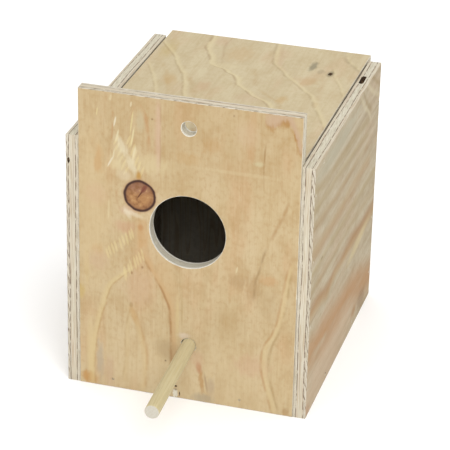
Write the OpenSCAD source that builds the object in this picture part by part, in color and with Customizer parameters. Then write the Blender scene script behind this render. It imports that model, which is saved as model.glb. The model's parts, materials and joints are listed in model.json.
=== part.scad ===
// Nesting box for small cage birds, made of three-ply softwood plywood.
//
// Two sides hold the front, the back and the floor between them, and brads
// go through the sides into the edges. The tall front stands above the sides
// and hangs by one hole. The lid lies between the sides and swings up on two
// nails, one driven through each side, until it leans on the front.
//
// Millimetres, +Z up. The origin is the middle of the underside, halfway
// between the front and back edges of the sides. The front faces -Y.

/* [Box] */
// Width over both sides
box_w = 165; // [130:1:240]
// Depth of the sides, front edge to back edge
box_d = 184; // [140:1:260]
// Height of the sides
side_h = 181; // [140:1:280]
// How far the front stands above the sides
front_rise = 33.5; // [28:0.5:60]
// How far the front stands proud of the sides' front edges
front_proud = 0.5; // [0:0.1:2]
// Thickness of the plywood
ply = 8.7; // [7:0.1:12]

/* [Entrance] */
// Diameter of the entrance hole
hole_d = 51; // [30:1:70]
// From the top edge of the sides down to the middle of the entrance
hole_drop = 57.2; // [48:0.1:70]

/* [Hanging hole] */
// Diameter of the hanging hole
hang_d = 10; // [4:0.5:14]
// From the top edge of the front down to the middle of the hanging hole
hang_drop = 18; // [10:0.5:24]

/* [Perch] */
// Diameter of the perch dowel
perch_d = 9.5; // [6:0.1:16]
// Length of the perch in front of the box
perch_out = 88; // [40:1:130]
// Height of the perch above the underside
perch_z = 41.5; // [30:0.5:56]
// Sideways offset of the perch, drilled by hand
perch_x = 2; // [-10:0.5:10]
// Sideways lean of the perch in degrees, drilled by hand
perch_lean = 2; // [-5:0.5:5]
// Depth of the perch's inner end below the front's inner face
perch_short = 0.5; // [0.5:0.1:3]
// Radial glue gap around the perch
perch_glue = 0.05; // [0.02:0.01:0.2]

/* [Lid] */
// Gap between the lid and each side
lid_gap = 1.2; // [0.5:0.1:3]
// How far the lid runs past the back as a finger lip
lid_lip = 11; // [4:1:30]
// From the front's inner face to the middle of the pivot nails
pivot_in = 13.5; // [11:0.1:20]
// Gap that the lid's front corners keep from the front as they swing
swing_gap = 0.7; // [0.3:0.1:2]

/* [Pivot nails] */
// Diameter of the nail's shank
nail_d = 2; // [1.6:0.1:2.4]
// Length of the nail
nail_l = 28; // [22:1:40]
// Diameter of the nail's head
nail_head_d = 2.7; // [2.6:0.1:5]
// Thickness of the nail's head
nail_head_t = 1.1; // [0.6:0.1:2]
// Radial play of the lid on the nail
nail_play = 0.08; // [0.02:0.01:0.1]

/* [Brads] */
// Diameter of the brad's shank
brad_d = 1.2; // [1:0.1:1.6]
// Length of the brad
brad_l = 25; // [20:1:32]
// Diameter of the brad's head
brad_head_d = 1.9; // [1.7:0.1:2.4]
// Thickness of the brad's head
brad_head_t = 0.8; // [0.5:0.1:1.2]
// Distance from the last brad of an upright row to the end of its seam
brad_end = 20; // [15:1:30]
// Number of brads in each upright row
brad_rows = 4; // [2:1:6]
// Distance from the floor brads of a side to the side's front and back edges
side_brad_in = 53; // [45:1:60]
// Spacing of the floor brads across the front and the back
floor_brad_gap = 44; // [20:1:48]
// Sideways offset of the floor brads in the front, driven by eye
front_brad_x = -6.5; // [-10:0.5:10]
// Height of the floor brads in the front, driven by eye
front_brad_z = 6.2; // [4:0.1:6.5]

/* [Hidden] */
$fn = 48;

LEFT = -1;
RIGHT = 1;
// Depth of a driven head below the wood's face
head_set = 0.3;
// Radial room around a driven nail, so that it only touches the wood
drive_fit = 0.02;
// Length of a nail's point, in shank diameters
point_ratio = 1.6;
// How far a cutter runs past the face that it opens
past = 1;

front_h = side_h + front_rise;
inner_w = box_w - 2 * ply;
front_y = -box_d / 2 - front_proud;
front_in_y = front_y + ply;
back_y = box_d / 2;
back_in_y = back_y - ply;
back_h = side_h - ply;
hole_z = side_h - hole_drop;
hang_z = front_h - hang_drop;

pivot_y = front_in_y + pivot_in;
pivot_z = side_h - ply / 2;
// The lid's front corners turn about the nails on this radius
nose_r = pivot_in - swing_gap;
lid_front_y = pivot_y - sqrt(nose_r * nose_r - ply * ply / 4);
lid_w = inner_w - 2 * lid_gap;

front_brad_y = front_y + ply / 2;
back_brad_y = back_y - ply / 2;
side_brad_z = ply / 2;

FRONT_ZS = spread(brad_end, side_h - brad_end, brad_rows);
BACK_ZS = spread(brad_end, back_h - brad_end, brad_rows);
FLOOR_YS = spread(side_brad_in - box_d / 2, box_d / 2 - side_brad_in, 2);
FLOOR_XS = spread(-floor_brad_gap, floor_brad_gap, 3);

// Evenly spaced places from the first to the last
function spread(first, last, count) =
    [for (i = [0 : count - 1]) first + (last - first) * i / (count - 1)];

// A nail along +Z with its head's outer face at zero
module nail(d, length, head_d, head_t) {
    point = d * point_ratio;
    rotate_extrude()
        polygon([[0, 0], [head_d / 2, 0], [head_d / 2, head_t], [d / 2, head_t],
            [d / 2, length - point], [0, length]]);
}

// The hole that a nail leaves, open to the wood's face above the head
module nail_hole(d, length, head_d, head_t, room) {
    translate([0, 0, -head_set - past])
        cylinder(d = head_d + 2 * room, h = head_set + past + head_t);
    cylinder(d = d + 2 * room, h = length + room);
}

module brad() {
    nail(brad_d, brad_l, brad_head_d, brad_head_t);
}

module brad_hole() {
    nail_hole(brad_d, brad_l, brad_head_d, brad_head_t, drive_fit);
}

// Turns a nail to go inwards through a side, with its head set below the face
module through_side(side, y, z) {
    translate([side * (box_w / 2 - head_set), y, z])
        rotate([0, -90 * side, 0])
            children();
}

// Turns a nail to go through the front towards the back
module through_front(x, z) {
    translate([x, front_y + head_set, z])
        rotate([-90, 0, 0])
            children();
}

// Turns a nail to go through the back towards the front
module through_back(x, z) {
    translate([x, back_y - head_set, z])
        rotate([90, 0, 0])
            children();
}

module at_front_seam(side) {
    for (z = FRONT_ZS)
        through_side(side, front_brad_y, z) children();
}

module at_back_seam(side) {
    for (z = BACK_ZS)
        through_side(side, back_brad_y, z) children();
}

module at_side_floor_seam(side) {
    for (y = FLOOR_YS)
        through_side(side, y, side_brad_z) children();
}

module at_front_floor_seam() {
    for (x = FLOOR_XS)
        through_front(front_brad_x + x, front_brad_z) children();
}

module at_back_floor_seam() {
    for (x = FLOOR_XS)
        through_back(x, side_brad_z) children();
}

// Puts the perch's own axis along +Z, from the front's outer face outwards
module along_perch() {
    translate([perch_x, front_y, perch_z])
        rotate([90, 0, perch_lean])
            children();
}

module front_panel() {
    color("#d9b77c")
        difference() {
            translate([-inner_w / 2, front_y, 0])
                cube([inner_w, ply, front_h]);
            translate([0, front_y - past, hole_z])
                rotate([-90, 0, 0])
                    cylinder(d = hole_d, h = ply + 2 * past, $fn = 96);
            translate([0, front_y - past, hang_z])
                rotate([-90, 0, 0])
                    cylinder(d = hang_d, h = ply + 2 * past);
            along_perch()
                translate([0, 0, -ply - 2 * past])
                    cylinder(d = perch_d + 2 * perch_glue, h = ply + 4 * past);
            at_front_seam(LEFT) brad_hole();
            at_front_seam(RIGHT) brad_hole();
            at_front_floor_seam() brad_hole();
        }
}

module side_board(side) {
    difference() {
        translate([side > 0 ? inner_w / 2 : -box_w / 2, -box_d / 2, 0])
            cube([ply, box_d, side_h]);
        at_front_seam(side) brad_hole();
        at_back_seam(side) brad_hole();
        at_side_floor_seam(side) brad_hole();
        through_side(side, pivot_y, pivot_z)
            nail_hole(nail_d, nail_l, nail_head_d, nail_head_t, drive_fit);
    }
}

module left_side() {
    color("#d2b483") side_board(LEFT);
}

module right_side() {
    color("#cfae7a") side_board(RIGHT);
}

module back_panel() {
    color("#d6ba88")
        difference() {
            translate([-inner_w / 2, back_in_y, 0])
                cube([inner_w, ply, back_h]);
            at_back_seam(LEFT) brad_hole();
            at_back_seam(RIGHT) brad_hole();
            at_back_floor_seam() brad_hole();
        }
}

module floor_panel() {
    color("#d3b78a")
        difference() {
            translate([-inner_w / 2, front_in_y, 0])
                cube([inner_w, back_in_y - front_in_y, ply]);
            at_side_floor_seam(LEFT) brad_hole();
            at_side_floor_seam(RIGHT) brad_hole();
            at_front_floor_seam() brad_hole();
            at_back_floor_seam() brad_hole();
        }
}

module lid() {
    color("#dcc391")
        difference() {
            translate([-lid_w / 2, lid_front_y, side_h - ply])
                cube([lid_w, back_y + lid_lip - lid_front_y, ply]);
            for (side = [LEFT, RIGHT])
                through_side(side, pivot_y, pivot_z)
                    cylinder(d = nail_d + 2 * nail_play, h = nail_l + past);
        }
}

module perch() {
    color("#e3cf98")
        along_perch()
            translate([0, 0, perch_short - ply])
                cylinder(d = perch_d, h = perch_out + ply - perch_short);
}

module pivot_nail(side) {
    color("#8d8f90")
        through_side(side, pivot_y, pivot_z)
            nail(nail_d, nail_l, nail_head_d, nail_head_t);
}

module left_front_brads() {
    color("#9a9b98") at_front_seam(LEFT) brad();
}

module right_front_brads() {
    color("#9a9b98") at_front_seam(RIGHT) brad();
}

module left_back_brads() {
    color("#9a9b98") at_back_seam(LEFT) brad();
}

module right_back_brads() {
    color("#9a9b98") at_back_seam(RIGHT) brad();
}

module left_floor_brads() {
    color("#9a9b98") at_side_floor_seam(LEFT) brad();
}

module right_floor_brads() {
    color("#9a9b98") at_side_floor_seam(RIGHT) brad();
}

module front_floor_brads() {
    color("#9a9b98") at_front_floor_seam() brad();
}

module back_floor_brads() {
    color("#9a9b98") at_back_floor_seam() brad();
}

front_panel();
left_side();
right_side();
back_panel();
floor_panel();
lid();
perch();
pivot_nail(LEFT);  // left_pivot_nail
pivot_nail(RIGHT);  // right_pivot_nail
left_front_brads();
right_front_brads();
left_back_brads();
right_back_brads();
left_floor_brads();
right_floor_brads();
front_floor_brads();
back_floor_brads();
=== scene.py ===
"""The looks of a plywood nesting box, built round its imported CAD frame.

Every board is made again as a sawn piece of three-ply: its walls are swept through the thickness,
veneer by veneer, with eased corners, open glue lines and drilled nail holes. Metres, +Z up, and the
front faces -Y. Names that end in _MM are millimetres.
"""

import json
import math

import bmesh
import bpy
import numpy as np
from mathutils import Matrix, Vector, noise


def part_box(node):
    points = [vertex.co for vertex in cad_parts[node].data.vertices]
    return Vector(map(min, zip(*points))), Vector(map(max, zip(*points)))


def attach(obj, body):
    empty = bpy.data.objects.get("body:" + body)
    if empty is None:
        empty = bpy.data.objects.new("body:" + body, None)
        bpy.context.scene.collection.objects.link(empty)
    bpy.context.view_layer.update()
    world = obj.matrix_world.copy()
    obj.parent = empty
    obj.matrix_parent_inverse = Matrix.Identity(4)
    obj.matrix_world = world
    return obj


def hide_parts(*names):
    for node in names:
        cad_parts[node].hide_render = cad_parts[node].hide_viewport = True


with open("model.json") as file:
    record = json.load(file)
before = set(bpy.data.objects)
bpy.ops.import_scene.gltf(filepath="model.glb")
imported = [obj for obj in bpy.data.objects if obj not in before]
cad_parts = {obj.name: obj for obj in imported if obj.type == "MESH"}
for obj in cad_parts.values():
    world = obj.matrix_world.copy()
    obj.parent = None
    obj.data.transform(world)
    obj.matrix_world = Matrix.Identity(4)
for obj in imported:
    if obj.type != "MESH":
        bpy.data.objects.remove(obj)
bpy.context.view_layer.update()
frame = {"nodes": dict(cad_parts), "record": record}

MM = 0.001
X, Y, Z = 0, 1, 2

# Three-ply: the outer and inner face veneers, as shares of a board's thickness.
OUTER_VENEER = 0.235
INNER_VENEER = 0.255

# Half the width and the depth of an open glue line, and the width of an eased corner.
GLUE_HALF_MM = 0.12
GLUE_DEPTH_MM = 0.1
EASE_MM = 0.3
# How far a glue line strays from even, and over what length: veneers are never quite flat.
GLUE_SWAY_MM = 0.8
GLUE_SWAY_RUN_MM = 45.0
# How far the saw wanders along a cut, always into the wood.
SAW_WANDER_MM = 0.08
# Spacing of the points along a sawn edge.
EDGE_STEP_MM = 2.0
# Room round a nail's head, how deep a head may lie and still open the face, and how far its
# cutter runs out past the face.
NAIL_ROOM_MM = 0.03
HEAD_DEEPEST_MM = 2.0
CUT_PAST_MM = 0.5
# How far a drill wanders, and the glue gap round the perch.
BORE_WANDER_MM = 0.03
PERCH_ROOM_MM = 0.03
# How far round a hole its torn edge runs, in radians.
TORN_SPREAD = 0.55
# Waves per millimetre of the saw's wander, and of the fray along an eased corner.
WANDER_PER_MM = 0.11
FRAY_PER_MM = 0.4

# The order of each board's materials.
OUTER_FACE, INNER_FACE, END_CUT, RIP_CUT, BORED, PIT, CHIP = range(7)


def linear(hex_code):
    """An sRGB hex colour as linear red, green, blue and alpha."""
    parts = [int(hex_code[i:i + 2], 16) / 255 for i in (1, 3, 5)]
    return [c / 12.92 if c <= 0.04045 else ((c + 0.055) / 1.055) ** 2.4 for c in parts] + [1.0]


# ---------------------------------------------------------------- materials

# The colour sockets of a Mix node.
FACTOR, UNDER, OVER, MIXED = 0, 6, 7, 2
# Where a soft stain begins and where it is full, in shares of its half sizes, and how far ragged
# noise moves its edge.
STAIN_EDGE, STAIN_FULL, FRAY = 1.3, 0.35, 1.4


def add(tree, kind, inputs=(), output=0, course=(), **settings):
    """Adds one node, fills its options and inputs with values or links, and returns an output.
    course holds a curve's points."""
    node = tree.nodes.new("ShaderNode" + kind)
    for option, value in settings.items():
        setattr(node, option, value)
    if course:
        node.mapping.use_clip = False
        line = node.mapping.curves[0].points
        line[0].location, line[1].location = course[0], course[-1]
        for place in course[1:-1]:
            line.new(*place)
        node.mapping.update()
    for key, value in inputs.items() if isinstance(inputs, dict) else enumerate(inputs):
        if isinstance(value, bpy.types.NodeSocket):
            tree.links.new(value, node.inputs[key])
        else:
            node.inputs[key].default_value = value
    return node.outputs[output] if node.outputs else None


class Surface:
    """One material in the making: its tree, and a board's own millimetres (across, along, depth),
    plain for what is drawn at a place, and shifted by the board's seed for the grain."""

    def __init__(self, name):
        self.material = bpy.data.materials.new(name)
        self.material.use_nodes = True
        self.tree = self.material.node_tree
        self.tree.nodes.clear()
        self.at = self.add("Attribute", output=1, attribute_name="board_mm")
        self.own = self.add("Attribute", output=1, attribute_name="grain_mm")

    def add(self, kind, *args, **settings):
        return add(self.tree, kind, *args, **settings)

    def math(self, operation, *values):
        return self.add("Math", values, operation=operation)

    def split(self, place):
        return self.add("SeparateXYZ", [place]).node.outputs

    def fibres(self, across_mm, along_mm, tilt=0, detail=2.0, depth_mm=8.0, place=None):
        """Noise from 0 to 1 drawn out along the grain, as fibres, pores and growth bands are."""
        turned = self.add("VectorRotate", {"Vector": place or self.own, "Angle": math.radians(tilt)},
                          rotation_type="Z_AXIS")
        spacing = (1 / across_mm, 1 / along_mm, 1 / depth_mm)
        drawn = self.add("VectorMath", [turned, spacing], operation="MULTIPLY")
        return self.add("TexNoise", {"Vector": drawn, "Scale": 1.0, "Detail": detail})

    def mask(self, value, low, high, strength=1.0):
        """Zero at low and strength at high, whichever of them is less, rising smoothly."""
        limits = [low, high, 0.0, strength] if low < high else [high, low, strength, 0.0]
        return self.add("MapRange", [value] + limits, interpolation_type="SMOOTHSTEP")

    def lay(self, wood, *layers):
        """Lays each (cover, colour) over the wood, in order."""
        for cover, colour in layers:
            shade = colour if isinstance(colour, bpy.types.NodeSocket) else linear(colour)
            wood = self.add("Mix", {FACTOR: cover, UNDER: wood, OVER: shade}, output=MIXED,
                            data_type="RGBA")
        return wood

    def round_off(self, centre, half_sizes, tilt=0, place=None):
        """How far out a place lies from centre: 1 on the ellipse with those half sizes."""
        off = self.add("VectorMath", [place or self.at, (*centre, 0)], operation="SUBTRACT")
        turned = self.add("VectorRotate", {"Vector": off, "Angle": math.radians(tilt)},
                          rotation_type="Z_AXIS")
        sized = self.add("VectorMath", [turned, (1 / half_sizes[0], 1 / half_sizes[1], 0)],
                         operation="MULTIPLY")
        return self.add("VectorMath", [sized], output=1, operation="LENGTH")

    def patch(self, centre, half_sizes, strength, tilt=0, ragged=None):
        """A soft stain of that strength; ragged is noise that frays its edge."""
        out = self.round_off(centre, half_sizes, tilt)
        if ragged:
            out = self.math("MULTIPLY_ADD", ragged, FRAY, out)
            out = self.math("SUBTRACT", out, FRAY / 2)
        return self.mask(out, STAIN_EDGE, STAIN_FULL, strength)

    def frayed(self, centre, half_sizes, strength, tilt=0):
        """A stain whose edge the surface's own ragged noise frays."""
        return self.patch(centre, half_sizes, strength, tilt, self.ragged)

    def scratch(self, start, end, width_mm, strength):
        """A short dash from start to end."""
        run = Vector(end) - Vector(start)
        centre = (Vector(start) + Vector(end)) / 2
        lean = 90 - math.degrees(math.atan2(run.y, run.x))
        out = self.round_off(centre, (width_mm * 0.75, run.length * 0.6), lean)
        return self.mask(out, 1.0, 0.5, strength)

    def ring_line(self, wood, along, across, course, late_mm, strength, late, early=None,
                  early_mm=0.0, early_share=0.9):
        """A growth ring's edge that runs along a course: a dark line of late wood, late_mm wide,
        and, on the side that early_mm points to, a band of early wood that fades. It comes and
        goes as the knife cut nearer to the ring or further from it."""
        ends = course[0][0], course[-1][0]
        line = self.add("FloatCurve", {"Value": along}, course=course)
        out = self.math("SUBTRACT", across, line)
        fade = 5.0
        reach = self.math("MULTIPLY", self.mask(along, ends[0] - fade, ends[0] + fade),
                          self.mask(along, ends[1] + fade, ends[1] - fade))
        layers = []
        if early:
            side = self.math("MULTIPLY", out, 1.0 if early_mm > 0 else -1.0)
            band = self.math("MULTIPLY", self.mask(side, -0.9, 1.1, early_share * strength),
                             self.mask(side, abs(early_mm), abs(early_mm) * 0.3))
            layers.append((self.math("MULTIPLY", band, reach), early))
        width = self.math("ABSOLUTE", out)
        dark = self.math("MULTIPLY", self.mask(width, late_mm * 1.15, 0.0, strength), reach)
        layers.append((self.math("MULTIPLY", dark, self.broken), late))
        return self.lay(wood, *layers)

    def swayed(self, reach_mm, across_mm=12, along_mm=24):
        """Across and along, pushed about a little, so that no line is exact."""
        push = self.fibres(across_mm, along_mm, detail=3.0)
        across, along, _ = self.split(self.at)
        return self.math("MULTIPLY_ADD", push, 2 * reach_mm,
                         self.math("SUBTRACT", across, reach_mm)), along

    def bare_wood(self, colour, rough, height, relief_mm):
        """Dry, uncoated wood: a wide dull sheen, with its grain standing up by relief_mm."""
        bump = self.add("Bump", {"Height": height, "Strength": 1.0, "Distance": relief_mm * MM})
        wood = self.add("BsdfPrincipled", {"Base Color": colour, "Roughness": rough,
                                           "Normal": bump, "Specular IOR Level": 0.25})
        self.add("OutputMaterial", {"Surface": wood})
        return self.material

    def veneer(self, light, mid, dark, warm):
        """The ground of a face veneer: bands, clouds, streaks, mottling, fibres and open pores."""
        bands = self.fibres(13, 110, detail=2.0)
        streaks = self.fibres(2.2, 42, detail=3.0)
        clouds = self.fibres(12, 19, detail=3.0)
        mottle = self.fibres(2.6, 3.6, detail=5.0)
        wood = self.lay(
            linear(mid),
            (self.mask(bands, 0.42, 0.62, 0.6), light),
            (self.mask(self.fibres(20, 70, tilt=3), 0.5, 0.68, 0.55), warm),
            (self.mask(clouds, 0.5, 0.66, 0.4), dark),
            (self.mask(clouds, 0.46, 0.34, 0.35), light),
            (self.mask(streaks, 0.5, 0.66, 0.26), dark),
            (self.mask(streaks, 0.48, 0.34, 0.24), light),
            (self.mask(mottle, 0.5, 0.68, 0.36), dark),
            (self.mask(mottle, 0.47, 0.32, 0.3), light))
        self.broken = self.mask(self.fibres(7, 11, detail=3.0), 0.3, 0.6)
        # Real fibres are 0.05 mm across; these are drawn at 0.5 mm so that they show.
        self.fine = self.fibres(0.5, 16, detail=3.0)
        self.pores = self.fibres(0.42, 3.6, detail=1.0)
        return self.lay(
            wood,
            (self.mask(self.fine, 0.5, 0.72, 0.2), dark),
            (self.mask(self.fine, 0.48, 0.3, 0.2), light),
            (self.mask(self.pores, 0.62, 0.78, 0.2), PORE))

    def finish_veneer(self, wood):
        """Bare veneer is dull all over, a little less so on its hard late wood, and the fibres
        stand up a twentieth of a millimetre."""
        rough = self.add("MapRange", [self.fine, 0.3, 0.7, 0.62, 0.8])
        height = self.math("SUBTRACT", self.fine, self.math("MULTIPLY", self.pores, 0.5))
        return self.bare_wood(wood, rough, height, 0.06)


PORE = "#806440"
# Knife chatter: a broad dash is fainter than a narrow one.
BROAD_DASH_MM = 1.4
FAINT_DASH, CLEAR_DASH = 0.45, 0.6
# How much wider and fainter than listed the rings' late wood is drawn on the sides and on the
# lid, and how full the early wood beside it is.
SIDE_LATE_WIDTH, SIDE_LATE_SHARE, SIDE_EARLY_SHARE = 1.4, 0.95, 0.6
LID_LATE_WIDTH, LID_LATE_SHARE, LID_EARLY_SHARE = 1.5, 0.5, 1.0


def front_face():
    """Rotary-cut pine face veneer, lightly sanded: honey ground, a sound knot with a black bark
    ring, knife chatter beside it, and arched growth rings down to the perch."""
    s = Surface("rotary_cut_pine_front")
    wood = s.veneer("#b7a482", "#af9a75", "#a0845a", "#b1906a")
    s.ragged = s.fibres(2.5, 7, detail=4.0)
    across, along = s.swayed(1.2)

    # Wide soft changes of colour, from the top of the board to the bottom.
    wood = s.lay(
        wood,
        (s.patch((5, 205), (95, 55), 0.2), "#94784d"),
        (s.patch((5, 10), (95, 45), 0.3), "#c1af8c"),
        (s.frayed((-64, 135), (12, 60), 0.5), "#baa57f"),
        (s.patch((-62, 142), (9, 9), 0.4), "#b49677"),
        (s.frayed((-60, 166), (3.5, 10), 0.5), "#ab8452"),
        (s.patch((-20.5, 190), (2.6, 26), 0.35), "#b5977e"),
        (s.patch((-32, 197), (3.2, 8), 0.5), "#a99d7f"),
        (s.frayed((-24, 168), (14, 7), 0.5), "#bcac86"),
        (s.frayed((-49, 165), (5, 4), 0.5), "#bfae85"),
        (s.frayed((15, 187), (7, 6), 0.35), "#a37f50"),
        (s.frayed((0, 176), (9, 5), 0.3), "#a88655"),
        (s.frayed((38, 198), (8, 10), 0.35), "#b59d80"),
        (s.frayed((41, 185), (3, 6), 0.35), "#a8845c"),
        (s.frayed((46, 179), (3.5, 2), 0.6), "#b5ab88"),
        (s.patch((35, 170.6), (36, 1.5), 0.3), "#bcab88"),
        (s.frayed((-42, 121), (8, 5), 0.5), "#ae886b"),
        (s.frayed((-30.5, 117), (4.5, 13), 0.6), "#ae8a5d"),
        (s.patch((-31.5, 122.5), (2.2, 2.6), 0.5), "#a07042"),
        (s.frayed((-61, 102), (5, 5), 0.25), "#b18c5d"),
        (s.frayed((-61, 94), (8, 8), 0.4), "#af9278"),
        (s.patch((-68.5, 88), (2.2, 15), 0.25), "#bda879"),
        (s.frayed((-73, 70), (4, 6), 0.5), "#ac9352"),
        (s.frayed((-33, 79), (12, 15), 0.4), "#b3997c"),
        (s.patch((-13, 84), (7, 22), 0.4, tilt=-12), "#b19268"),
        (s.patch((-6, 60), (1.4, 18), 0.5), "#b9a579"),
        (s.patch((-3, 66), (0.8, 13), 0.5), "#9d865a"),
        (s.frayed((45, 90), (6, 11), 0.5), "#967a52"),
        (s.frayed((34, 94), (7, 6), 0.5), "#997e58"),
        (s.frayed((28, 62), (16, 14), 0.25), "#a08860"),
        (s.frayed((55, 98), (6, 4), 0.4), "#ae8457"),
        (s.frayed((56, 80), (8, 14), 0.35), "#a28c68"),
        (s.frayed((8, 31), (5, 8), 0.4), "#b29073"),
        (s.frayed((45, 33), (13, 9), 0.35), "#b18c71"),
        (s.patch((-66.5, 28), (3, 26), 0.55), "#bca87e"),
        (s.frayed((-59.5, 20), (2.8, 16), 0.6), "#9d927f"),
        (s.frayed((-53, 12), (4, 14), 0.4), "#ad9077"),
        (s.frayed((-67, 5), (6, 5), 0.75), "#a77a40"),
        (s.frayed((12, 3), (8, 4), 0.5), "#8e8472"),
        (s.frayed((17.5, 12), (3, 8), 0.45), "#9b8871"),
        (s.frayed((69, 3), (2.6, 4), 0.5), "#906e3e"))

    # Growth rings: the arch under the entrance, the small arch in it, and the bend on the right.
    for course, late_mm, strength, late, early, early_mm in (
            (((20, -10), (40, -10.2), (55, -10.8), (66, -11.6), (73, -14), (81, -17.6),
              (87, -21.5), (97, -27), (104, -31)), 1.5, 0.75, "#906a3f", "#b19268", 5.5),
            (((0, -63.5), (20, -63), (35, -61.8), (50, -59), (62, -56), (70, -54), (77, -51),
              (84, -45), (92, -36)), 1.1, 0.5, "#9b7d4c", "#c0ad7f", -5.5),
            (((0, -28), (15, -27), (30, -27), (40, -28.5), (48, -31), (55, -33), (61, -36.5)),
             1.9, 0.45, "#a37f4f", "#bca57a", -5.0),
            (((8, -43.5), (30, -42), (50, -41), (63, -38)), 1.2, 0.35, "#987c4e", "#b7a279", 4.0),
            (((-4, 61.5), (8, 57.5), (20, 54), (35, 51.5), (50, 53.2), (60, 58.5), (70, 61.5),
              (80, 63), (90, 64.5), (100, 66), (112, 69)), 1.4, 0.5, "#9a7345", "#bdaa81", 5.0),
            (((4, 63.5), (20, 58.8), (35, 56.6), (50, 58.2), (60, 62.5), (70, 65), (80, 66.8),
              (90, 67.8), (104, 70)), 1.4, 0.45, "#8a7142", None, 0),
            (((84, 45.5), (96, 46.5), (105, 48.7), (112, 50.3), (119, 52)), 1.3, 0.55, "#856c48",
             None, 0),
            (((128, 56), (142, 61.5), (156, 67)), 1.8, 0.55, "#937043", None, 0),
            (((182, -26.4), (190, -27.3), (200, -28.8), (205, -31)), 2.0, 0.5, "#a17346", None, 0),
            (((166, -18.8), (185, -18.4), (211, -19)), 0.9, 0.4, "#947552", "#b69984", -4.0),
            (((176, -52.3), (190, -51), (202, -50.6)), 1.1, 0.5, "#9c7548", None, 0),
            (((134, -46), (140, -47.7), (150, -47.8), (157, -46)), 1.3, 0.55, "#997142", None, 0),
            (((164, 49.6), (178, 49.3), (191, 50)), 0.9, 0.7, "#896a3f", None, 0),
            (((183, 69.5), (192, 70.5), (200, 70)), 1.2, 0.5, "#926d3c", None, 0)):
        wood = s.ring_line(wood, along, across, course, late_mm, strength, late, early, early_mm)
    # Two that run across the board: the resin stain in the corner, and the top of a small arch.
    along = s.math("MULTIPLY_ADD", s.ragged, 8.0, s.math("SUBTRACT", along, 4.0))
    for course, late_mm, strength, late, early, early_mm in (
            (((49, 212), (50.5, 205.8), (54, 205), (58, 207), (63, 209), (66.5, 206), (69, 199),
              (72, 191), (75, 186)), 4.2, 0.8, "#956e39", "#aa8f76", 16.0),
            (((-37, 204), (-35, 206.8), (-32.5, 207.5), (-30, 205)), 2.2, 0.5, "#a17346", None, 0)):
        wood = s.ring_line(wood, across, along, course, late_mm, strength, late, early, early_mm)

    # Knife chatter: pale dashes where the knife lifted the fibres, and four chains of them that
    # follow the rings above and under the knot.
    dashes = [((-49.8, 191), (-48.2, 198.5), 1.1, "#ccc5ae"), ((-38.9, 187), (-36.8, 204), 1.0, "#c2b484"),
              ((-38.4, 178), (-36, 193), 1.1, "#c7bc93"), ((-37, 170.5), (-35, 180), 1.2, "#c7bd9a"),
              ((-48.5, 180.5), (-46.5, 189.5), 1.2, "#c7be9c"), ((-54, 162.5), (-50, 170.5), 1.1, "#cdc5ae"),
              ((-50.3, 168), (-49.3, 176), 0.9, "#c5bb9c"), ((-52.4, 208.5), (-51.4, 213), 1.4, "#c2b591"),
              ((-38.6, 206), (-38, 210), 1.1, "#c5b99a"), ((-53.5, 125), (-53, 140), 1.4, "#c2b28d"),
              ((-61.3, 197), (-60.6, 203), 0.8, "#c2b284"), ((33, 100), (34, 105), 1.0, "#c1b491")]
    for start, end, count, long_mm, lean_mm in (
            ((-37, 118), (-54, 100), 9, 8.5, 1.1), ((-30.5, 103), (-43, 86.5), 8, 9.0, 1.1),
            ((-49, 182), (-42, 161), 6, 7.5, -1.8), ((-40, 184), (-31, 162), 7, 8.5, -1.5)):
        for step in range(count):
            centre = Vector(start).lerp(Vector(end), step / (count - 1))
            stray = noise.noise_vector(Vector((centre.x, centre.y, 0.5))) * 1.8
            foot = (centre.x + stray.x + lean_mm, centre.y + stray.y - long_mm / 2)
            top = (centre.x + stray.x - lean_mm, centre.y + stray.z + long_mm / 2)
            dashes.append((foot, top, BROAD_DASH_MM, "#c4b384"))
    for start, end, width_mm, colour in dashes:
        strength = FAINT_DASH if width_mm >= BROAD_DASH_MM else CLEAR_DASH
        wood = s.lay(wood, (s.scratch(start, end, width_mm, strength), colour))
    wood = s.lay(
        wood,
        (s.frayed((-44.5, 179), (3.4, 7.0), 0.42, tilt=-26), "#cdc6ad"),
        (s.frayed((-37.5, 165.5), (2.8, 10), 0.4, tilt=-26), "#cac2a6"),
        (s.frayed((-36, 173), (2.0, 8), 0.3, tilt=12), "#c9bd9e"),
        (s.frayed((-47, 170), (6, 12), 0.4), "#beb18f"))

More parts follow.
